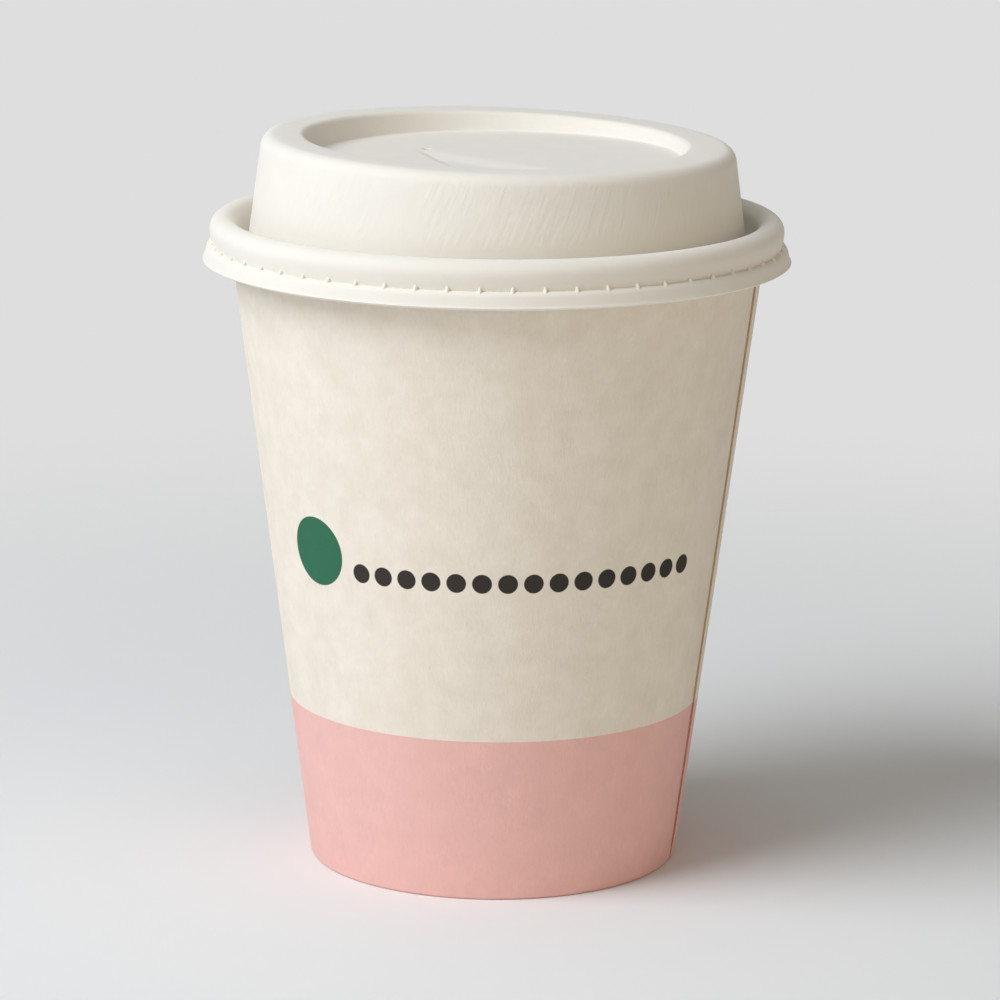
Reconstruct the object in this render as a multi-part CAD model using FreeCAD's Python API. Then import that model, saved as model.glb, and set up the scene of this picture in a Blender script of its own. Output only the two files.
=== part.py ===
"""Paper coffee cup with a press-on lid of moulded fibre, in millimetres.

The origin is the centre of the foot, on the surface that the cup stands on. +Z is up and -Y is the front.
Sections are drawn as (radius, height) and turned round Z. Angles are in degrees from +X, seen from above.
"""
import FreeCAD, Part
import math
import os
from FreeCAD import Vector

# Side wall: one paperboard blank, wrapped, lapped, rolled out at the rim and folded in at the foot
cup_height = 104.1
foot_radius = 29.7
rim_radius = 44.94
board = 0.4
roll_radius = 1.25          # outside of the rolled rim's section
roll_end = -125             # where the curl stops, just short of the wall
foot_fold = 7.2             # height of the inward fold that clamps the base

# Lap seam, on the outside of the wall
seam_angle = -18.0          # place of the outer layer's cut edge
lap_angle = 10.5            # width of the lap, on the front side of that edge
lap_ramp = 2.5              # further angle over which the outer layer settles back on to the wall
seam_margin = 0.5           # clear height left under the roll and over the foot's bend

# Base: a disc with a down-turned skirt, glued between the wall and its fold
base_board = 0.35
base_recess = 8.4           # height of the disc's underside over the surface
glue_line = 0.03

# Lid: one moulding of thick fibre
lid_wall = 0.7
lid_gap = 0.2               # clearance between the lid's bead and the rolled rim
skirt_depth = 6.95          # from the top of the bead down to the widest place of the lip
skirt_flare = 1.15          # how far the lip stands out past the bead
bead_drop = 4.6             # from the top of the bead down to the crease over the skirt
upper_flare = 0.45          # how far the skirt stands out at its own bend, over the lip
flare_bend_height = 0.95
groove_depth = 4.5          # from the top of the bead down to the groove's floor
groove_width = 1.4          # at the groove's floor, from the plug wall in to the dome

# Dome of the lid, with a top that slopes down from its high side
dome_draft = 7.7
dome_height = 12.1          # from the top of the bead up to the middle of the dome's top
top_tilt = 1.6
high_side = 168
shoulder = 2.2

# Level recess in the dome's top
recess_radius = 29.4        # at its floor
recess_depth = 2.9          # from the middle of the dome's top
recess_draft = 22
mouth_round = 1.1

# Holes through the recess floor
sip_length = 13.0
sip_width = 5.5
sip_angle = -71
sip_radius = 24.0           # from the axis to the middle of the hole
vent_diameter = 1.4
vent_angle = 145
vent_radius = 14.0

# Ribs across the crease over the lid's skirt
rib_count = 58
rib_height = 2.1
rib_width = 0.95
rib_stand = 0.42            # how far the ridge stands out past the bead

# Values that follow from the sizes above
roll_centre = (rim_radius - roll_radius, cup_height - roll_radius)
inner_foot = foot_radius - board
wall_lean = math.atan2(roll_centre[0] - inner_foot, roll_centre[1]) - math.asin(
    roll_radius / math.hypot(roll_centre[0] - inner_foot, roll_centre[1]))
bead_top = cup_height + lid_gap + lid_wall
bead_reach = roll_radius + lid_gap + lid_wall
bead_radius = roll_centre[0] + bead_reach
groove_floor = bead_top - groove_depth
plug_slope = math.tan(wall_lean)
plug_foot = roll_centre[0] - (roll_centre[1] - groove_floor) * plug_slope - bead_reach / math.cos(wall_lean)
dome_foot = plug_foot - groove_width
dome_radius = dome_foot - groove_depth * math.tan(math.radians(dome_draft))
dome_top = bead_top + dome_height
floor_top = dome_top - recess_depth


def inner_wall(height, inset=0.0):
    """Radius of the wall's inner face at a height, drawn in by inset square to the wall."""
    return inner_foot + height * math.tan(wall_lean) - inset / math.cos(wall_lean)


def dome_side(height, inset=0.0):
    """Radius of the dome's side at a height, drawn in by inset square to the side."""
    draft = math.radians(dome_draft)
    return dome_foot - (height - groove_floor) * math.tan(draft) - inset / math.cos(draft)


def polar(radius, angle, height):
    """Point at an angle round the axis."""
    return Vector(radius * math.cos(math.radians(angle)), radius * math.sin(math.radians(angle)), height)


def rounded_edges(points, bends):
    """Edges through the points of a section, with each inner point rounded by its bend radius."""
    points = [Vector(r, 0, z) for r, z in points]
    edges, start = [], points[0]
    for before, corner, after, bend in zip(points, points[1:], points[2:], bends):
        to_before = (before - corner).normalize()
        to_after = (after - corner).normalize()
        half = to_before.getAngle(to_after) / 2
        cut = bend / math.tan(half)
        into = corner + to_before * cut
        out = corner + to_after * cut
        middle = corner + (to_before + to_after).normalize() * (bend / math.sin(half) - bend)
        if (into - start).Length > 1e-6:
            edges.append(Part.makeLine(start, into))
        if bend > 0:
            edges.append(Part.Arc(into, middle, out).toShape())
        start = out
    edges.append(Part.makeLine(start, points[-1]))
    return edges


def sheet_sides(path, thickness):
    """Points and bends of both faces of a bent sheet, which lies on the left of its path.

    The path lists (radius, height, bend). A bend is the radius on the inside of the fold, and 0 is a sharp crease.
    """
    normals = []
    for (r0, z0, _), (r1, z1, _) in zip(path, path[1:]):
        length = math.hypot(r1 - r0, z1 - z0)
        normals.append(((z0 - z1) / length, (r1 - r0) / length))
    near, far = ([], []), ([], [])
    for i, (r, z, bend) in enumerate(path):
        first, last = normals[max(i - 1, 0)], normals[min(i, len(normals) - 1)]
        scale = thickness / (1 + first[0] * last[0] + first[1] * last[1])
        near[0].append((r, z))
        far[0].append((r + scale * (first[0] + last[0]), z + scale * (first[1] + last[1])))
        if 0 < i < len(path) - 1:
            turns_left = first[0] * last[1] > first[1] * last[0]
            outside = bend + thickness if bend > 0 else 0
            near[1].append(outside if turns_left else bend)
            far[1].append(bend if turns_left else outside)
    return near, far


def section(edges, *gaps):
    """Face inside the edges and the straight lines that close their gaps."""
    lines = [Part.makeLine(Vector(a[0], 0, a[1]), Vector(b[0], 0, b[1])) for a, b in gaps]
    return Part.Face(Part.Wire(Part.__sortEdges__(edges + lines)))


def sheet_section(path, thickness):
    """Section of a bent sheet."""
    near, far = sheet_sides(path, thickness)
    ends = [(near[0][i], far[0][i]) for i in (0, -1)]
    return section(rounded_edges(*near) + rounded_edges(*far), *ends)


def turned(face, start=0.0, sweep=360.0):
    """Solid made by turning a section round Z."""
    solid = face.revolve(Vector(), Vector(0, 0, 1), sweep)
    solid.rotate(Vector(), Vector(0, 0, 1), start)
    return solid


def one_solid(shape):
    """The single solid of a fused shape, with its split faces joined again."""
    return shape.removeSplitter().Solids[0]


def rim_roll():
    """Section of the hollow curl at the rim."""
    r, z = roll_centre
    start, end = roll_end, 180 - math.degrees(wall_lean)

    def at(radius, angle):
        return Vector(r + radius * math.cos(math.radians(angle)), 0, z + radius * math.sin(math.radians(angle)))

    bore = roll_radius - board
    middle = (start + end) / 2
    edges = [Part.Arc(at(roll_radius, start), at(roll_radius, middle), at(roll_radius, end)).toShape(),
             Part.makeLine(at(roll_radius, end), at(bore, end)),
             Part.Arc(at(bore, end), at(bore, middle), at(bore, start)).toShape(),
             Part.makeLine(at(bore, start), at(roll_radius, start))]
    return Part.Face(Part.Wire(edges))


def lap_layer():
    """The outer layer of the lap seam, one board thick, with a ramp where it settles on to the wall."""
    low = board + seam_margin
    high = cup_height - 2 * roll_radius - seam_margin
    under, outer = -board / 2, -2 * board
    outline = [(low, under), (low, outer), (high, outer), (high, under), (low, under)]
    corners = [Vector(inner_wall(z, inset), 0, z) for z, inset in outline]
    layer = turned(Part.Face(Part.makePolygon(corners)), seam_angle - lap_angle, lap_angle)
    ramp_from, ramp_to = seam_angle - lap_angle, seam_angle - lap_angle - lap_ramp
    ends = []
    for z in (low, high):
        a, b = polar(inner_wall(z, under), ramp_from, z), polar(inner_wall(z, outer), ramp_from, z)
        c = polar(inner_wall(z, -board), ramp_to, z)
        ends.append(Part.makePolygon([a, b, c, a]))
    return layer.fuse(Part.makeLoft(ends, True, True))


def cup_wall():
    """The wrapped wall, from its curl at the rim to the fold that holds the base."""
    tangent = 180 - math.degrees(wall_lean)
    top = (roll_centre[0] + roll_radius * math.cos(math.radians(tangent)),
           roll_centre[1] + roll_radius * math.sin(math.radians(tangent)))
    channel = base_board + 2 * glue_line
    path = [(top[0], top[1], 0),
            (inner_wall(board), board, 0),
            (inner_wall(board, channel), board, 0),
            (inner_wall(foot_fold, channel), foot_fold, 0)]
    wall = turned(sheet_section(path, board)).fuse(turned(rim_roll()))
    return one_solid(wall.fuse(lap_layer()))


def cup_base():
    """The recessed disc and its skirt."""
    inset = base_board + glue_line
    path = [(0, base_recess, 0),
            (inner_wall(base_recess, inset), base_recess, 0),
            (inner_wall(board + glue_line, inset), board + glue_line, 0)]
    return turned(sheet_section(path, base_board))


def lid_edge():
    """Skirt, bead and groove, from the lip in to the foot of the dome, cut level at the bead's top."""
    lip = bead_top - skirt_depth
    bead_bend = roll_radius + lid_gap
    overshoot = bead_top + lid_wall
    path = [(bead_radius + skirt_flare, lip, 0),
            (bead_radius + upper_flare, lip + flare_bend_height, 0),
            (bead_radius, bead_top - bead_drop, 0),
            (bead_radius, bead_top, bead_bend),
            (plug_foot + groove_depth * plug_slope, bead_top, bead_bend),
            (plug_foot, groove_floor, 0),
            (dome_foot, groove_floor, 0),
            (dome_side(overshoot), overshoot, 0)]
    above = Part.makeCylinder(dome_radius, 2 * lid_wall, Vector(0, 0, bead_top))
    return turned(sheet_section(path, lid_wall)).cut(above)


def rings(shape, over, within):
    """Edges that run right round the axis, over a height and within a radius."""
    return [edge for edge in shape.Edges
            if edge.Length > recess_radius and edge.BoundBox.ZMin > over and edge.BoundBox.XMax < within]


def dome_block(inset):
    """The space of the dome over the bead's top, drawn in by inset on every side, with its shoulder rounded."""
    tall = dome_height + shoulder + dome_radius * math.tan(math.radians(top_tilt))
    cone = Part.makeCone(dome_side(bead_top, inset), dome_side(bead_top + tall, inset), tall,
                         Vector(0, 0, bead_top))
    wide = 4 * dome_radius
    waste = Part.makeBox(wide, wide, wide, Vector(-wide / 2, -wide / 2, -inset))
    waste.rotate(Vector(), Vector(0, 1, 0), -top_tilt)
    waste.rotate(Vector(), Vector(0, 0, 1), high_side)
    waste.translate(Vector(0, 0, dome_top))
    block = cone.cut(waste)
    return block.makeFillet(shoulder - inset, rings(block, bead_top + inset, wide))


def recess_blocks():
    """The space of the recess, and the same grown by the fibre's thickness."""
    rise = recess_depth + dome_height
    path = [(recess_radius + rise * math.tan(math.radians(recess_draft)), floor_top + rise, 0),
            (recess_radius, floor_top, 0),
            (0, floor_top, 0)]
    blocks = []
    for points, bends in sheet_sides(path, lid_wall):
        (r, z), (_, bottom) = points[0], points[-1]
        blocks.append(turned(section(rounded_edges(points, bends), ((r, z), (0, z)), ((0, z), (0, bottom)))))
    return blocks


def dome():
    """The dome's shell, with its recess pressed down into the top."""
    recess, grown = recess_blocks()
    outside = dome_block(0).cut(recess)
    mouth = rings(outside, floor_top + recess_depth / 2, recess_radius + recess_depth)
    return outside.makeFillet(mouth_round, mouth).cut(dome_block(lid_wall).cut(grown))


def floor_holes():
    """Cutters for the sip hole, a slot across the radius, and for the vent."""
    low, through = floor_top - 2 * lid_wall, 3 * lid_wall
    straight, half = (sip_length - sip_width) / 2, sip_width / 2
    slot = Part.makeBox(sip_width, 2 * straight, through, Vector(sip_radius - half, -straight, low))
    for side in (-straight, straight):
        slot = slot.fuse(Part.makeCylinder(half, through, Vector(sip_radius, side, low)))
    slot.rotate(Vector(), Vector(0, 0, 1), sip_angle)
    vent = Part.makeCylinder(vent_diameter / 2, through, polar(vent_radius, vent_angle, low))
    return [slot, vent]


def rib(angle):
    """A small eight-sided spindle that bridges the crease over the skirt."""
    crease = bead_top - bead_drop
    half = rib_height / 2
    skirt_out = upper_flare * half / (skirt_depth - bead_drop - flare_bend_height)
    sunk = lid_wall / 6
    ridge = Vector(bead_radius + rib_stand, 0, crease)
    root = Vector(bead_radius - lid_wall / 2, 0, crease)
    tips = [Vector(bead_radius - sunk, 0, crease + half),
            Vector(bead_radius + skirt_out - sunk, 0, crease - half)]
    sides = [Vector(bead_radius - sunk, y, crease) for y in (-rib_width / 2, rib_width / 2)]
    faces = [Part.Face(Part.makePolygon([tip, side, inner, tip]))
             for tip in tips for side in sides for inner in (ridge, root)]
    spindle = Part.Solid(Part.Shell(faces))
    spindle.rotate(Vector(), Vector(0, 0, 1), angle)
    return spindle


def lid():
    """The moulded lid, from its lip to its recess, with its ribs and holes."""
    shell = one_solid(lid_edge().fuse(dome())).cut(floor_holes())
    ribs = [rib(-90 + (i + 0.5) * 360 / rib_count) for i in range(rib_count)]
    return one_solid(shell.fuse(ribs))


os.makedirs("parts", exist_ok=True)
for name, shape in (("cup_wall", cup_wall()), ("cup_base", cup_base()), ("lid", lid())):
    shape.exportStep(f"parts/{name}.step")
    print(name, shape.ShapeType, shape.isValid(), round(shape.Volume, 1))
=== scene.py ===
"""Paper coffee cup with a press-on lid of moulded fibre: the finished look of the part.

Sizes are in millimetres and angles in degrees from +X, seen from above, until a mesh is made in metres.
A section is a line of (radius, height) points, which is turned round the cup's axis.
"""

import math

import bmesh
import bpy
from mathutils import Matrix, Vector, noise


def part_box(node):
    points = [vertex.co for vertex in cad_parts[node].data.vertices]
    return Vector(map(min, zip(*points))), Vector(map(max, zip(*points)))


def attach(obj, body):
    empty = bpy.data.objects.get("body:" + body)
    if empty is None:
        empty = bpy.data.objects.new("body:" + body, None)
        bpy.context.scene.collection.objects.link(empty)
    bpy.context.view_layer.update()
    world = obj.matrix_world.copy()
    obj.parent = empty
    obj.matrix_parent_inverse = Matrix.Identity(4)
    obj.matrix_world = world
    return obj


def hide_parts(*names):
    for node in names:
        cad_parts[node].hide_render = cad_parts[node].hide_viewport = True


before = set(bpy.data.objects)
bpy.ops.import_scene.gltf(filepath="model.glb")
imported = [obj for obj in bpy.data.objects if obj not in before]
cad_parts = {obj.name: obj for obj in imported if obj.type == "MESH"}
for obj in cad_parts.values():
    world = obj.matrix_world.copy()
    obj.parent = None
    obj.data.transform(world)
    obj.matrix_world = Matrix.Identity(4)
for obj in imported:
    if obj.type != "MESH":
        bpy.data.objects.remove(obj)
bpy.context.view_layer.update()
METRES = 0.001
wall_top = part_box("cup_wall")[1] / METRES

# Side wall and base, as the solids have them
cup_height = wall_top.z
rim_radius = wall_top.x
foot_radius = 29.7
board = 0.4
roll_radius = 1.25
roll_end = -125
foot_fold = 7.2
foot_bend = 0.12
base_board = 0.35
base_recess = 8.4
base_bend = 0.5
glue_line = 0.03

# Lap seam, with its raw edge turned to the camera: the solids have the two layers the other way round
seam_angle = -13.8
lap_angle = 10.5
lap_ramp = 2.5
lap_step = 0.8               # in boards

# Share of the seam's step that is left at the foot and at the roll, which press it down, and how far they do
foot_share = 0.25
foot_press = (0.3, 1.5)
roll_share = 0.28
roll_press = 3

# Lid
lid_wall = 0.7
lid_gap = 0.2
skirt_depth = 6.95
skirt_flare = 1.15
bead_drop = 4.6
skirt_ledge = 0.55
ledge_drop = 0.42
lip_curl = 0.2
curl_height = 0.32
under_bead = 0.5
under_bead_curve = 1.7
groove_depth = 4.5
groove_width = 1.4
dome_draft = 7.7
dome_height = 12.1
top_tilt = 1.6
high_side = 168
recess_radius = 29.4
recess_depth = 2.9
recess_draft = 22
rib_count = 58
rib_height = 2.4
rib_width = 0.72
rib_reach = 0.45             # from the rib's middle to its crest
rib_sink = 0.1               # from the bead's face in to the rib's middle
rib_drop = 0.3
rib_lean = 24

# Slight waves of the thin moulding, none at the recess and all of the depth at the bead
wave_depth = 0.05
waves_round = 3.1
waves_up = 0.12

# Rounding of the lid's bends: on the inside of each bend, but on the show side at the shoulder and the mouth
ledge_bend = 0.25
groove_bend = 0.5
shoulder = 2.2
mouth_round = 1.1
recess_bend = 0.4

# Holes in the recess floor
sip_length = 13.0
sip_width = 5.5
sip_angle = -71
sip_radius = 24.0
vent_diameter = 1.4
vent_angle = 145
vent_radius = 14.0
hole_round = 0.22

# Drain channel pressed into the recess floor: it runs from the vent to the front and gets wider. Each side is
# a straight line through two places of the plan, with a steep slope at the left and a gentle one at the right
channel_left = ((-14.3, 9.8), (-5.8, -16.0))
channel_right = ((-7.7, 3.7), (13.1, -16.0))
channel_depth = 0.55
channel_steep = 1.0
channel_gentle = 5.0
channel_tip = 11.5
channel_tip_skew = 0.35
channel_tip_slope = 2
channel_front = (25.5, 28.5)

# Faint marks of the mould up the dome's side
mark_pitch = 0.95
mark_run = 5.0
mark_slant = 22
mark_fade = 2

# Print on the wall
band_height = 26.8
disc_angle = -139.0
disc_height = 55.2
disc_radius = 5.6
row_height = 53.0
row_start = -124.5
row_end = -36.0
row_count = 15
row_radius = 1.55
ink_blur = 0.05

# Floor, lamps and camera
floor_radius = 4000
fade_start = 90
fade_end = 360
lamp_width = 950
lamp_distance = 1300
lamp_aim = 60                # height of the place that the lamps face
camera_place = (0.82, -730.53, 221.04)
camera_tilt = 12.563
camera_roll = 0.4887
camera_lens = 166.57
sensor_width = 36

# Fineness of the meshes
columns_round = 360
arc_step = 12.0
ramp_cells = 4
floor_rings = 52

# Places of the board's materials in a piece's list
PRINTED, COATED, CUT = range(3)

# Least distances that tell one part of a section from the next
fold_margin = 1
floor_margin = 0.5
slack = 0.01

# Values that follow
lap_end = seam_angle + lap_angle
wall_slope_run = rim_radius - roll_radius - (foot_radius - board)
roll_height = cup_height - roll_radius
wall_lean = math.atan2(wall_slope_run, roll_height) - math.asin(
    roll_radius / math.hypot(wall_slope_run, roll_height))
bead_top = cup_height + lid_gap + lid_wall
bead_reach = roll_radius + lid_gap + lid_wall
bead_radius = rim_radius - roll_radius + bead_reach
crease = bead_top - bead_drop
bead_equator = bead_top - bead_reach
groove_floor = bead_top - groove_depth
plug_slope = math.tan(wall_lean)
plug_foot = (rim_radius - roll_radius - (roll_height - groove_floor) * plug_slope
             - bead_reach / math.cos(wall_lean))
dome_foot = plug_foot - groove_width
dome_top = bead_top + dome_height
floor_top = dome_top - recess_depth


# Sections

def inner_wall(height, inset=0.0):
    """Radius of the wall's inner face at a height, drawn in by inset square to the wall."""
    return foot_radius - board + height * math.tan(wall_lean) - inset / math.cos(wall_lean)


def arc(centre, radius, start, end, steps):
    """Points along an arc of a section."""
    points = []
    for i in range(steps + 1):
        angle = math.radians(start + (end - start) * i / steps)
        points.append(Vector((centre[0] + radius * math.cos(angle), centre[1] + radius * math.sin(angle))))
    return points


def offset_line(points, thickness):
    """The line that lies a sheet's thickness to the left of a line of corners."""
    normals = []
    for a, b in zip(points, points[1:]):
        run = (b - a).normalized()
        normals.append(Vector((-run.y, run.x)))
    moved = []
    for i, point in enumerate(points):
        first, last = normals[max(i - 1, 0)], normals[min(i, len(normals) - 1)]
        moved.append(point + (first + last) * (thickness / (1 + first.dot(last))))
    return moved


def rounded_line(points, bends, cells):
    """A line of corners with each corner rounded and each straight run cut into cells."""
    line = []
    start = points[0]
    for i in range(1, len(points)):
        corner = points[i]
        bend = bends[i]
        stop = corner
        curve = []
        if bend > 0 and i < len(points) - 1:
            back = (points[i - 1] - corner).normalized()
            ahead = (points[i + 1] - corner).normalized()
            half = back.angle(ahead) / 2
            stop = corner + back * (bend / math.tan(half))
            centre = corner + (back + ahead).normalized() * (bend / math.sin(half))
            from_centre = stop - centre
            turn = math.pi - 2 * half
            if from_centre.x * ahead.y < from_centre.y * ahead.x:
                turn = -turn
            steps = max(2, round(math.degrees(abs(turn)) / arc_step))
            for k in range(1, steps + 1):
                curve.append(centre + Matrix.Rotation(turn * k / steps, 2) @ from_centre)
        for k in range(cells[i - 1]):
            line.append(start.lerp(stop, k / cells[i - 1]))
        line.append(stop)
        if curve:
            line += curve[:-1]
            start = curve[-1]
        else:
            line.pop()
            start = corner
    line.append(points[-1])
    return line


def sheet_lines(corners, thickness):
    """Both faces of a bent sheet, which lies on the left of its corners.

    A corner is (radius, height, bend, cells): the bend's radius on the inside of the fold, and the cells
    into which the run that follows is cut.
    """
    near = [Vector(corner[:2]) for corner in corners]
    far = offset_line(near, thickness)
    near_bends, far_bends = [0], [0]
    for i in range(1, len(near) - 1):
        before, after = near[i] - near[i - 1], near[i + 1] - near[i]
        turns_left = before.x * after.y > before.y * after.x
        bend = corners[i][2]
        near_bends.append(bend + thickness if turns_left else bend)
        far_bends.append(bend if turns_left else bend + thickness)
    cells = [corner[3] for corner in corners[:-1]]
    return (rounded_line(near, near_bends + [0], cells), rounded_line(far, far_bends + [0], cells))


# Meshes

def new_object(name, mesh, materials):
    """An object of a finished mesh, at the origin."""
    obj = bpy.data.objects.new(name, mesh)
    bpy.context.scene.collection.objects.link(obj)
    for material in materials:
        mesh.materials.append(material)
    return obj


def turned_mesh(name, columns, materials, sharp_angle=32, step_mark=0):
    """Mesh of closed sections set side by side round the axis.

    A column is (azimuth, list of (point, material number)), and every column has as many points. Two columns
    at one azimuth make a step, whose face has the material step_mark.
    """
    mesh = bpy.data.meshes.new(name)
    bm = bmesh.new()
    grid = []
    for azimuth, section in columns:
        c, s = math.cos(math.radians(azimuth)), math.sin(math.radians(azimuth))
        grid.append([bm.verts.new((p.x * c * METRES, p.x * s * METRES, p.y * METRES)) for p, _ in section])
    marks = [mark for _, mark in columns[0][1]]
    for i in range(len(grid)):
        beside = (i + 1) % len(grid)
        here, there = grid[i], grid[beside]
        is_step = columns[i][0] == columns[beside][0]
        for j in range(len(here)):
            k = (j + 1) % len(here)
            face = bm.faces.new((here[j], there[j], there[k], here[k]))
            face.material_index = step_mark if is_step else marks[j]
            face.smooth = True
    bmesh.ops.remove_doubles(bm, verts=bm.verts, dist=1e-7)
    bmesh.ops.dissolve_degenerate(bm, edges=bm.edges, dist=1e-8)
    bmesh.ops.recalc_face_normals(bm, faces=bm.faces)
    for edge in bm.edges:
        if len(edge.link_faces) == 2 and edge.calc_face_angle() > math.radians(sharp_angle):
            edge.smooth = False
    bm.to_mesh(mesh)
    bm.free()
    return new_object(name, mesh, materials)


def closed_section(near, far, near_mark=0, far_mark=0, edge_mark=0):
    """Points of a sheet's section in order: one face, across the edge, and back along the other face."""
    section = [(p, near_mark) for p in near[:-1]] + [(near[-1], edge_mark)]
    back = list(reversed(far))
    section += [(p, far_mark) for p in back[:-1]] + [(back[-1], edge_mark)]
    return section


def smoothstep(low, high, value):
    """0 below low, 1 above high, and a smooth rise between."""
    t = min(max((value - low) / (high - low), 0.0), 1.0)
    return t * t * (3 - 2 * t)


# Materials

def linear(code):
    """Linear RGBA of an sRGB hex colour."""
    channels = [int(code[i:i + 2], 16) / 255 for i in (1, 3, 5)]
    return tuple(c / 12.92 if c <= 0.04045 else ((c + 0.055) / 1.055) ** 2.4 for c in channels) + (1.0,)


def add(tree, kind, inputs=(), **settings):
    """Adds a node with its settings, and sets or links its inputs. Returns its outputs."""
    made = tree.nodes.new(kind)
    for key, value in settings.items():
        setattr(made, key, value)
    for key, value in dict(inputs).items():
        socket = made.inputs[key]
        if isinstance(value, bpy.types.NodeSocket):
            tree.links.new(value, socket)
        else:
            socket.default_value = value
    return made.outputs


def new_material(name):
    """An empty node material and its tree."""
    material = bpy.data.materials.new(name)
    material.use_nodes = True
    material.node_tree.nodes.clear()
    return material, material.node_tree


def pulp(tree, place, patch, fibre, run):
    """Formation and fibres of a sheet of pulp, each about 0.5 on the average.

    Formation is the cloudy patches that show where the pulp is thicker. The fibres are drawn out upwards.
    """
    formation = add(tree, "ShaderNodeTexNoise", {
        "Vector": place, "Scale": 1 / (patch * METRES), "Detail": 3, "Roughness": 0.55})[0]
    drawn_out = add(tree, "ShaderNodeMapping", {"Vector": place, "Scale": (1, 1, 1 / run)})[0]
    fibres = add(tree, "ShaderNodeTexNoise", {
        "Vector": drawn_out, "Scale": 1 / (fibre * METRES),
        "Detail": 3, "Roughness": 0.6, "Distortion": 1.2})[0]
    return formation, fibres


def mottled(tree, colour, formation, fibres, patch_contrast, fibre_contrast):
    """A colour that gets lighter and darker with the formation and the fibres of the pulp."""
    base = 1 - (patch_contrast + fibre_contrast) / 2
    tone = add(tree, "ShaderNodeMath", {
        0: formation, 1: patch_contrast, 2: base}, operation="MULTIPLY_ADD")[0]
    tone = add(tree, "ShaderNodeMath", {
        0: fibres, 1: fibre_contrast, 2: tone}, operation="MULTIPLY_ADD")[0]
    return add(tree, "ShaderNodeMix", {
        0: 1.0, 6: colour, 7: tone}, data_type="RGBA", blend_type="MULTIPLY")[2]


def surface(tree, colour, relief, depth, settings):
    """Principled surface with a relief whose depth is in millimetres."""
    normal = add(tree, "ShaderNodeBump", {"Height": relief, "Distance": depth * METRES, "Strength": 1.0})[0]
    shader = add(tree, "ShaderNodeBsdfPrincipled", {"Base Color": colour, "Normal": normal, **settings})[0]
    add(tree, "ShaderNodeOutputMaterial", {"Surface": shader})


def wall_place(angle, height):
    """A place on the wall's printed face, in metres."""
    radius = inner_wall(height, -board) * METRES
    return (radius * math.cos(math.radians(angle)), radius * math.sin(math.radians(angle)), height * METRES)


def inked(tree, colour, distance, edge, ink):
    """A colour with ink over it wherever a distance is less than the print's edge, both in metres."""
    share = add(tree, "ShaderNodeMapRange", {
        "Value": distance, "From Min": edge - ink_blur * METRES, "From Max": edge + ink_blur * METRES,
        "To Min": 1, "To Max": 0})[0]
    return add(tree, "ShaderNodeMix", {0: share, 6: colour, 7: linear(ink)}, data_type="RGBA")[2]


def dot_row_distance(tree, place):
    """Distance from the nearest dot of the row, measured on the wall."""
    pitch = math.radians(row_end - row_start) / (row_count - 1)
    axes = add(tree, "ShaderNodeSeparateXYZ", {"Vector": place})
    around = add(tree, "ShaderNodeMath", {0: axes["Y"], 1: axes["X"]}, operation="ARCTAN2")[0]
    from_first = add(tree, "ShaderNodeMath", {
        0: around, 1: math.radians(row_start)}, operation="SUBTRACT")[0]
    number = add(tree, "ShaderNodeMath", {0: from_first, 1: 1 / pitch}, operation="MULTIPLY")[0]
    nearest = add(tree, "ShaderNodeMath", {0: number}, operation="ROUND")[0]
    nearest = add(tree, "ShaderNodeClamp", {"Value": nearest, "Min": 0, "Max": row_count - 1})[0]
    off = add(tree, "ShaderNodeMath", {0: number, 1: nearest}, operation="SUBTRACT")[0]
    arc_pitch = pitch * inner_wall(row_height, -board) * METRES
    side = add(tree, "ShaderNodeMath", {0: off, 1: arc_pitch}, operation="MULTIPLY")[0]
    rise = add(tree, "ShaderNodeMath", {0: axes["Z"], 1: row_height * METRES}, operation="SUBTRACT")[0]
    from_dot = add(tree, "ShaderNodeCombineXYZ", {"X": side, "Y": rise})[0]
    return add(tree, "ShaderNodeVectorMath", {0: from_dot}, operation="LENGTH")["Value"]


def printed_board():
    """Uncoated paperboard, printed flat: matt and cloudy, with fibres that run up the wall."""
    material, tree = new_material("uncoated_printed_board")
    place = add(tree, "ShaderNodeTexCoord")["Object"]
    formation, fibres = pulp(tree, place, patch=4.2, fibre=0.5, run=3.0)
    height = add(tree, "ShaderNodeSeparateXYZ", {"Vector": place})["Z"]
    from_disc = add(tree, "ShaderNodeVectorMath", {
        0: place, 1: wall_place(disc_angle, disc_height)}, operation="DISTANCE")["Value"]
    colour = add(tree, "ShaderNodeMix", {
        0: formation, 6: linear("#EADFCE"), 7: linear("#F0E8DC")}, data_type="RGBA")[2]
    colour = inked(tree, colour, height, band_height * METRES, "#EEBEB6")
    colour = inked(tree, colour, from_disc, disc_radius * METRES, "#2F6B4F")
    colour = inked(tree, colour, dot_row_distance(tree, place), row_radius * METRES, "#35302C")
    colour = mottled(tree, colour, formation, fibres, patch_contrast=0.13, fibre_contrast=0.14)
    surface(tree, colour, fibres, 0.055, {"Roughness": 0.85, "Specular IOR Level": 0.3})
    return material


def coated_board():
    """Board with a thin film of plastic: white and smooth, with a soft gloss."""
    material, tree = new_material("film_coated_board")
    place = add(tree, "ShaderNodeTexCoord")["Object"]
    formation, fibres = pulp(tree, place, patch=3.2, fibre=0.42, run=3.5)
    colour = mottled(tree, linear("#EFEAE0"), formation, fibres, patch_contrast=0.06, fibre_contrast=0.05)
    surface(tree, colour, fibres, 0.01, {"Roughness": 0.38, "Specular IOR Level": 0.5})
    return material


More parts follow.
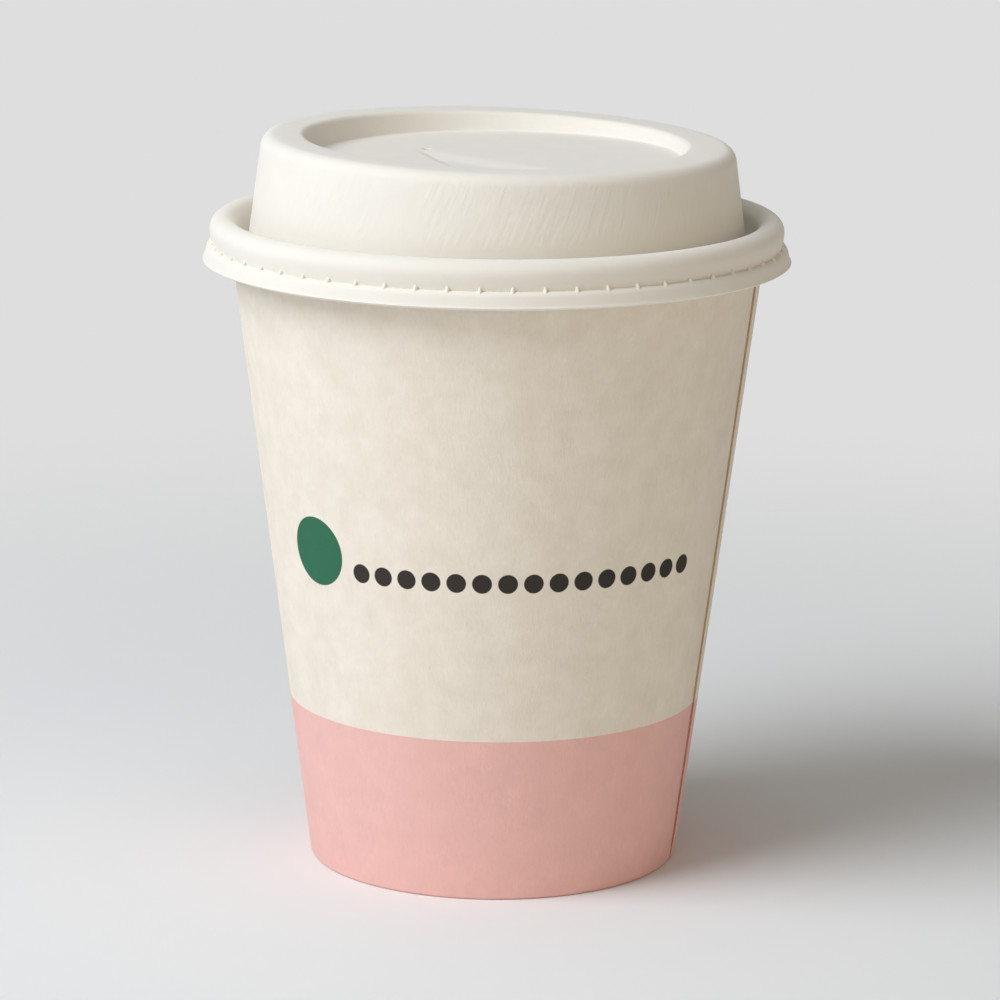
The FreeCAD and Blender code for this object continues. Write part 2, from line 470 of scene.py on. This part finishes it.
def cut_board():
    """Raw edge of the board, where the knife opens the fibres: brown and rough, and pinkish brown below the
    band's top edge.
    """
    material, tree = new_material("raw_board_edge")
    place = add(tree, "ShaderNodeTexCoord")["Object"]
    formation, fibres = pulp(tree, place, patch=1.5, fibre=0.3, run=2.0)
    height = add(tree, "ShaderNodeSeparateXYZ", {"Vector": place})["Z"]
    colour = inked(tree, linear("#B79F7C"), height, band_height * METRES, "#B9857C")
    colour = mottled(tree, colour, formation, fibres, patch_contrast=0.3, fibre_contrast=0.4)
    surface(tree, colour, fibres, 0.04, {"Roughness": 0.95, "Specular IOR Level": 0.2})
    return material


def moulded_fibre():
    """Hot-pressed pulp: matt off-white, with faint slanting marks of the mould up the dome's side."""
    material, tree = new_material("hot_pressed_fibre")
    place = add(tree, "ShaderNodeTexCoord")["Object"]
    formation, fibres = pulp(tree, place, patch=5.0, fibre=0.45, run=1.0)
    height = add(tree, "ShaderNodeSeparateXYZ", {"Vector": place})["Z"]
    twist = add(tree, "ShaderNodeMath", {
        0: height, 1: -math.tan(math.radians(mark_slant)) / (dome_foot * METRES)}, operation="MULTIPLY")[0]
    twisted = add(tree, "ShaderNodeVectorRotate", {
        "Vector": place, "Angle": twist}, rotation_type="Z_AXIS")[0]
    drawn_out = add(tree, "ShaderNodeMapping", {"Vector": twisted, "Scale": (1, 1, 1 / mark_run)})[0]
    marks = add(tree, "ShaderNodeTexNoise", {
        "Vector": drawn_out, "Scale": 1 / (mark_pitch * METRES), "Detail": 0, "Distortion": 0.6})[0]
    normal = add(tree, "ShaderNodeNewGeometry")["Normal"]
    upright = add(tree, "ShaderNodeSeparateXYZ", {"Vector": normal})["Z"]
    steep = add(tree, "ShaderNodeMapRange", {
        "Value": upright, "From Min": 0.3, "From Max": 0.7, "To Min": 1, "To Max": 0})[0]
    on_dome = add(tree, "ShaderNodeMapRange", {
        "Value": height, "From Min": bead_top * METRES, "From Max": (bead_top + mark_fade) * METRES})[0]
    share = add(tree, "ShaderNodeMath", {0: steep, 1: on_dome}, operation="MULTIPLY")[0]
    marks = add(tree, "ShaderNodeMath", {0: marks, 1: share}, operation="MULTIPLY")[0]
    colour = mottled(tree, linear("#ECE7DD"), formation, fibres, patch_contrast=0.05, fibre_contrast=0.04)
    relief = add(tree, "ShaderNodeMath", {0: fibres, 1: 0.2, 2: marks}, operation="MULTIPLY_ADD")[0]
    surface(tree, colour, relief, 0.06, {"Roughness": 0.7, "Specular IOR Level": 0.35})
    return material


# The cup

def lap_lifts(azimuth, before_edge):
    """How far the wall's outer and inner faces stand out at the lap seam, in boards.

    At the two cut edges both sides are asked for: before_edge is the side with less azimuth.
    """
    if azimuth < seam_angle or (azimuth == seam_angle and before_edge):
        return 0.0, 0.0
    if azimuth < lap_end or (azimuth == lap_end and before_edge):
        return lap_step, 0.0
    fall = lap_step * (1 - smoothstep(lap_end, lap_end + lap_ramp, azimuth))
    return fall, fall


def seam_share(height):
    """Share of the seam's step that is left at a height: pressed down at the roll and at the foot."""
    above_foot = smoothstep(*foot_press, height)
    below_roll = 1 - smoothstep(roll_height - roll_press, roll_height, height)
    at_foot = foot_share + (1 - foot_share) * above_foot
    at_roll = roll_share + (1 - roll_share) * below_roll
    return at_foot * at_roll


def wall_section():
    """Coated and printed faces of the wall, from the end of the curl down to the end of the inward fold."""
    centre = (rim_radius - roll_radius, roll_height)
    tangent = 180 - math.degrees(wall_lean)
    steps = round((tangent - roll_end) / arc_step)
    curl = arc(centre, roll_radius, roll_end, tangent, steps)
    bore = arc(centre, roll_radius - board, roll_end, tangent, steps)
    channel = base_board + 2 * glue_line
    corners = [(curl[-1].x, curl[-1].y, 0, 24),
               (inner_wall(board), board, foot_bend, 1),
               (inner_wall(board, channel), board, foot_bend, 4),
               (inner_wall(foot_fold, channel), foot_fold, 0, 1)]
    coated, printed = sheet_lines(corners, board)
    return curl[:-1] + coated, bore[:-1] + printed


def lifted(line, lift):
    """A face of the wall moved out by a lift in boards. The fold inside the foot stays where it is."""
    fold_inside = inner_wall(0) - base_board
    moved = []
    for p in line:
        on_fold = p.y < foot_fold + fold_margin and p.x < fold_inside + p.y * math.tan(wall_lean)
        step = 0.0 if on_fold else lift * board * seam_share(p.y)
        moved.append(Vector((p.x + step, p.y)))
    return moved


def wall_columns():
    """Sections of the wall at every azimuth, with both sides of each cut edge."""
    coated, printed = wall_section()
    turns = [(i * 360 / columns_round - 180, False) for i in range(columns_round)]
    turns += [(lap_end, True), (lap_end, False), (seam_angle, True), (seam_angle, False)]
    turns += [(lap_end + lap_ramp * i / ramp_cells, False) for i in range(1, ramp_cells + 1)]
    turns = sorted(set(turns), key=lambda turn: (turn[0], not turn[1]))
    columns = []
    for azimuth, before_edge in turns:
        outer, inner = lap_lifts(azimuth, before_edge)
        section = closed_section(lifted(coated, inner), lifted(printed, outer), COATED, PRINTED, CUT)
        columns.append((azimuth, section))
    return columns


def cup_wall(materials):
    """The wrapped wall: printed outside, film-coated inside, with raw edges at its ends and seam."""
    return turned_mesh("cup_wall_board", wall_columns(), materials, step_mark=CUT)


def cup_base(materials):
    """The recessed disc with its down-turned skirt, glued in the wall's channel. Both faces are coated."""
    inset = base_board + glue_line
    corners = [(0, base_recess, 0, 10),
               (inner_wall(base_recess, inset), base_recess, base_bend, 5),
               (inner_wall(board + glue_line, inset), board + glue_line, 0, 1)]
    under, inside = sheet_lines(corners, base_board)
    section = closed_section(under, inside, COATED, PRINTED, CUT)
    columns = [(i * 360 / columns_round, section) for i in range(columns_round)]
    return turned_mesh("cup_base_board", columns, materials)


# The lid

def lid_lines(azimuth):
    """Show side and underside of the lid's section at an azimuth, from the lip to the centre."""
    lip = bead_top - skirt_depth
    draft = math.tan(math.radians(dome_draft))
    slope = math.tan(math.radians(top_tilt)) * math.cos(math.radians(azimuth - high_side))
    recess_slope = math.tan(math.radians(recess_draft))
    # The dome's side meets the sloping top at radius r and height z, where both of these hold:
    # r = dome_foot - (z - groove_floor) * draft and z = dome_top + r * slope
    edge_radius = (dome_foot - (dome_top - groove_floor) * draft) / (1 + slope * draft)
    mouth_radius = (recess_radius + (dome_top - floor_top) * recess_slope) / (1 - slope * recess_slope)
    corners = [(bead_radius + skirt_flare, lip, 0, 1),
               (bead_radius + skirt_flare - lip_curl, lip + curl_height, ledge_bend, 2),
               (bead_radius + skirt_ledge, crease - ledge_drop, ledge_bend, 2),
               (bead_radius, crease, 0, 8),
               (bead_radius, bead_top, roll_radius + lid_gap, 1),
               (plug_foot + groove_depth * plug_slope, bead_top, roll_radius + lid_gap, 2),
               (plug_foot, groove_floor, groove_bend, 1),
               (dome_foot, groove_floor, groove_bend, 10),
               (edge_radius, dome_top + edge_radius * slope, shoulder - lid_wall, 3),
               (mouth_radius, dome_top + mouth_radius * slope, mouth_round - lid_wall, 2),
               (recess_radius, floor_top, recess_bend, floor_rings),
               (0, floor_top, 0, 1)]
    return sheet_lines(corners, lid_wall)


def left_of(line, x, y):
    """How far a place of the plan lies to the left of a line through two places."""
    start, end = Vector(line[0]), Vector(line[1])
    run = (end - start).normalized()
    side = Vector((x, y)) - start
    return run.x * side.y - run.y * side.x


def channel_drop(x, y):
    """Depth of the drain channel in the recess floor at a place of the plan."""
    left_slope = smoothstep(0, channel_steep, left_of(channel_left, x, y))
    right_slope = smoothstep(0, channel_gentle, -left_of(channel_right, x, y))
    tip_slope = smoothstep(0, channel_tip_slope, channel_tip - (y + channel_tip_skew * x))
    front_slope = 1 - smoothstep(*channel_front, math.hypot(x, y))
    return channel_depth * left_slope * right_slope * tip_slope * front_slope


def shaped(line, azimuth, undercut):
    """A face of the lid at an azimuth, with the moulding's waves, the channel and the drawn-in crease.

    The bead is drawn in from its equator, where down is 0, to the crease, where down is 1.
    """
    c, s = math.cos(math.radians(azimuth)), math.sin(math.radians(azimuth))
    moved = []
    for p in line:
        edge_share = smoothstep(recess_radius, bead_radius, p.x)
        ripple = noise.noise(Vector((c * waves_round, s * waves_round, p.y * waves_up)))
        wave = wave_depth * ripple * edge_share
        drop = channel_drop(p.x * c, p.x * s) if p.x < recess_radius - floor_margin else 0.0
        down = (bead_equator - p.y) / (bead_equator - crease)
        drawn_in = p.x > bead_radius - slack and 0 < down < 1 + slack
        inward = undercut * down ** under_bead_curve if drawn_in else 0.0
        moved.append(Vector((p.x + wave - inward, p.y - drop)))
    return moved


def lid_columns():
    """Sections of the lid at every azimuth. Only the show side is drawn in at the crease."""
    columns = []
    for i in range(columns_round):
        azimuth = i * 360 / columns_round
        show, under = lid_lines(azimuth)
        section = closed_section(shaped(show, azimuth, under_bead), shaped(under, azimuth, 0.0))
        columns.append((azimuth, section))
    return columns


def hole_cutter(name, length, width):
    """Solid of a round-ended hole along Y with its upper edge rounded, centred on the origin."""
    straight, half = (length - width) / 2, width / 2
    low, high = -3 * lid_wall, lid_wall
    edge_steps = 4
    levels = [(0.0, low), (0.0, -hole_round)]
    for i in range(1, edge_steps + 1):
        turn = math.pi / 2 * i / edge_steps
        levels.append((hole_round * (1 - math.cos(turn)), -hole_round * (1 - math.sin(turn))))
    levels.append((hole_round, high))
    around = 48
    bm = bmesh.new()
    rings = []
    for grow, z in levels:
        ring = []
        for i in range(around):
            angle = 2 * math.pi * (i + 0.5) / around
            x = (half + grow) * math.cos(angle)
            y = (half + grow) * math.sin(angle) + math.copysign(straight, math.sin(angle))
            ring.append(bm.verts.new((x * METRES, y * METRES, z * METRES)))
        rings.append(ring)
    for lower, upper in zip(rings, rings[1:]):
        for i in range(around):
            k = (i + 1) % around
            bm.faces.new((lower[i], lower[k], upper[k], upper[i]))
    bm.faces.new(list(reversed(rings[0])))
    bm.faces.new(rings[-1])
    mesh = bpy.data.meshes.new(name)
    bm.to_mesh(mesh)
    bm.free()
    return new_object(name, mesh, [])


def cut(obj, cutter, angle, radius, height):
    """Cuts a hole at a place of the plan, and removes its cutter."""
    place = Matrix.Translation(Vector((0, 0, height)) * METRES) @ Matrix.Rotation(math.radians(angle), 4, "Z")
    cutter.data.transform(place @ Matrix.Translation((radius * METRES, 0, 0)))
    modifier = obj.modifiers.new("hole", "BOOLEAN")
    modifier.operation = "DIFFERENCE"
    modifier.solver = "EXACT"
    modifier.object = cutter
    evaluated = obj.evaluated_get(bpy.context.evaluated_depsgraph_get())
    mesh = bpy.data.meshes.new_from_object(evaluated)
    obj.modifiers.remove(modifier)
    obj.data = mesh
    bpy.data.objects.remove(cutter)


def lid(material):
    """The moulded lid, from its lip to its recess, with its holes."""
    shell = turned_mesh("moulded_lid", lid_columns(), [material], sharp_angle=40)
    angle = math.radians(sip_angle)
    sip_drop = channel_drop(sip_radius * math.cos(angle), sip_radius * math.sin(angle))
    cut(shell, hole_cutter("sip", sip_length, sip_width), sip_angle, sip_radius, floor_top - sip_drop)
    cut(shell, hole_cutter("vent", vent_diameter, vent_diameter), vent_angle, vent_radius, floor_top)
    return shell


def lid_ribs(material):
    """The small ribs across the crease over the skirt, laid out by a node tree."""
    tree = bpy.data.node_groups.new("crease_ribs", "GeometryNodeTree")
    tree.is_modifier = True
    rib_size = (rib_reach * METRES, rib_width / 2 * METRES, rib_height / 2 * METRES)
    sizes = {"Count": ("NodeSocketInt", rib_count),
             "Radius": ("NodeSocketFloat", (bead_radius - rib_sink) * METRES),
             "Height": ("NodeSocketFloat", (crease - rib_drop) * METRES),
             "Rib Size": ("NodeSocketVector", rib_size)}
    sockets = {}
    for name, (kind, _) in sizes.items():
        sockets[name] = tree.interface.new_socket(name, in_out="INPUT", socket_type=kind).identifier
    tree.interface.new_socket("Geometry", in_out="OUTPUT", socket_type="NodeSocketGeometry")
    given = add(tree, "NodeGroupInput")
    circle = add(tree, "GeometryNodeMeshCircle", {"Vertices": given["Count"], "Radius": given["Radius"]})[0]
    spindle = add(tree, "GeometryNodeMeshUVSphere", {"Segments": 12, "Rings": 8, "Radius": 1.0})[0]
    spindle = add(tree, "GeometryNodeTransform", {
        "Geometry": spindle, "Rotation": (0, math.radians(-rib_lean), 0), "Scale": given["Rib Size"]})[0]
    pitch = add(tree, "ShaderNodeMath", {0: 2 * math.pi, 1: given["Count"]}, operation="DIVIDE")[0]
    index = add(tree, "GeometryNodeInputIndex")[0]
    turn = add(tree, "ShaderNodeMath", {0: index, 1: pitch}, operation="MULTIPLY")[0]
    rotation = add(tree, "ShaderNodeCombineXYZ", {"Z": turn})[0]
    ribs = add(tree, "GeometryNodeInstanceOnPoints", {
        "Points": circle, "Instance": spindle, "Rotation": rotation})[0]
    ribs = add(tree, "GeometryNodeRealizeInstances", {"Geometry": ribs})[0]
    first_turn = add(tree, "ShaderNodeMath", {
        0: pitch, 1: 0.5, 2: math.radians(-90)}, operation="MULTIPLY_ADD")[0]
    ribs = add(tree, "GeometryNodeTransform", {
        "Geometry": ribs, "Rotation": add(tree, "ShaderNodeCombineXYZ", {"Z": first_turn})[0],
        "Translation": add(tree, "ShaderNodeCombineXYZ", {"Z": given["Height"]})[0]})[0]
    ribs = add(tree, "GeometryNodeSetMaterial", {"Geometry": ribs, "Material": material})[0]
    add(tree, "NodeGroupOutput", {"Geometry": ribs})
    holder = new_object("crease_ribs_source", bpy.data.meshes.new("crease_ribs_source"), [])
    modifier = holder.modifiers.new("ribs", "NODES")
    modifier.node_group = tree
    for name, (_, value) in sizes.items():
        modifier[sockets[name]] = value
    evaluated = holder.evaluated_get(bpy.context.evaluated_depsgraph_get())
    mesh = bpy.data.meshes.new_from_object(evaluated)
    bpy.data.objects.remove(holder)
    mesh.name = "crease_ribs"
    mesh.shade_smooth()
    return new_object("crease_ribs", mesh, [])


# Floor, light and camera

def seen_ray(tree):
    """1 for rays of the camera, reflections and see-through things, and 0 for all other light."""
    path = add(tree, "ShaderNodeLightPath")
    seen = add(tree, "ShaderNodeMath", {
        0: path["Is Camera Ray"], 1: path["Is Glossy Ray"]}, operation="MAXIMUM")[0]
    return add(tree, "ShaderNodeMath", {
        0: seen, 1: path["Is Transmission Ray"]}, operation="MAXIMUM")[0]


def studio_floor():
    """A wide pale floor that fades into the pale surroundings, so that no horizon shows."""
    material, tree = new_material("matt_floor")
    place = add(tree, "ShaderNodeTexCoord")["Object"]
    distance = add(tree, "ShaderNodeVectorMath", {0: place}, operation="LENGTH")["Value"]
    fade = add(tree, "ShaderNodeMapRange", {
        "Value": distance, "From Min": fade_start * METRES, "From Max": fade_end * METRES},
        interpolation_type="SMOOTHSTEP")[0]
    fade = add(tree, "ShaderNodeMath", {0: fade, 1: seen_ray(tree)}, operation="MULTIPLY")[0]
    matt = add(tree, "ShaderNodeBsdfDiffuse", {"Color": linear("#EEEEED")})[0]
    clear = add(tree, "ShaderNodeBsdfTransparent")[0]
    both = add(tree, "ShaderNodeMixShader", {0: fade, 1: matt, 2: clear})[0]
    add(tree, "ShaderNodeOutputMaterial", {"Surface": both})
    mesh = bpy.data.meshes.new("floor")
    bm = bmesh.new()
    bmesh.ops.create_circle(bm, cap_ends=True, radius=floor_radius * METRES, segments=128)
    bm.to_mesh(mesh)
    bm.free()
    new_object("floor", mesh, [material])


def studio_world():
    """Even soft light from all round, slightly warm, with a pale grey where the world itself is seen."""
    world = bpy.data.worlds.new("studio")
    bpy.context.scene.world = world
    world.use_nodes = True
    tree = world.node_tree
    tree.nodes.clear()
    soft_light = (0.228, 0.219, 0.203, 1.0)
    colour = add(tree, "ShaderNodeMix", {
        0: seen_ray(tree), 6: soft_light, 7: linear("#DEDEDE")}, data_type="RGBA")[2]
    background = add(tree, "ShaderNodeBackground", {"Color": colour})[0]
    add(tree, "ShaderNodeOutputWorld", {"Surface": background})


def soft_lamp(name, azimuth, elevation, energy, colour):
    """A large round lamp that faces the cup. Its azimuth is in degrees to the left of the camera."""
    a, e = math.radians(azimuth), math.radians(elevation)
    toward = Vector((-math.sin(a) * math.cos(e), -math.cos(a) * math.cos(e), math.sin(e)))
    lamp = bpy.data.lights.new(name, "AREA")
    lamp.shape = "DISK"
    lamp.size = lamp_width * METRES
    lamp.energy = energy
    lamp.color = colour
    obj = bpy.data.objects.new(name, lamp)
    bpy.context.scene.collection.objects.link(obj)
    obj.location = (Vector((0, 0, lamp_aim)) + toward * lamp_distance) * METRES
    obj.rotation_euler = toward.to_track_quat("Z", "Y").to_euler()


def camera():
    """The camera of the photograph: a long lens, a little above the lid."""
    data = bpy.data.cameras.new("camera")
    data.lens = camera_lens
    data.sensor_width = sensor_width
    obj = bpy.data.objects.new("camera", data)
    bpy.context.scene.collection.objects.link(obj)
    obj.matrix_world = (Matrix.Translation(Vector(camera_place) * METRES)
                        @ Matrix.Rotation(math.radians(90 - camera_tilt), 4, "X")
                        @ Matrix.Rotation(math.radians(camera_roll), 4, "Z"))
    bpy.context.scene.camera = obj


wall_faces = [printed_board(), coated_board(), cut_board()]
base_faces = [coated_board(), coated_board(), wall_faces[CUT]]
fibre = moulded_fibre()
for piece, body, slot, node in (
        (cup_wall(wall_faces), "cup", "printed_board", "cup_wall"),
        (cup_base(base_faces), "cup", "base_board", "cup_base"),
        (lid(fibre), "lid", "moulded_fibre", "lid"),
        (lid_ribs(fibre), "lid", "moulded_fibre", None)):
    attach(piece, body)
    if node:
        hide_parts(node)

bpy.context.scene.view_settings.view_transform = "Standard"
studio_floor()
studio_world()
soft_lamp("key", azimuth=61, elevation=44, energy=13.4, colour=(0.955, 1.0, 1.07))
soft_lamp("left_fill", azimuth=58, elevation=12, energy=1.8, colour=(0.96, 1.0, 1.05))
soft_lamp("card", azimuth=-38, elevation=6, energy=2.2, colour=(1.34, 1.0, 0.55))
soft_lamp("overhead", azimuth=0, elevation=88, energy=1.5, colour=(0.88, 1.0, 1.15))
camera()
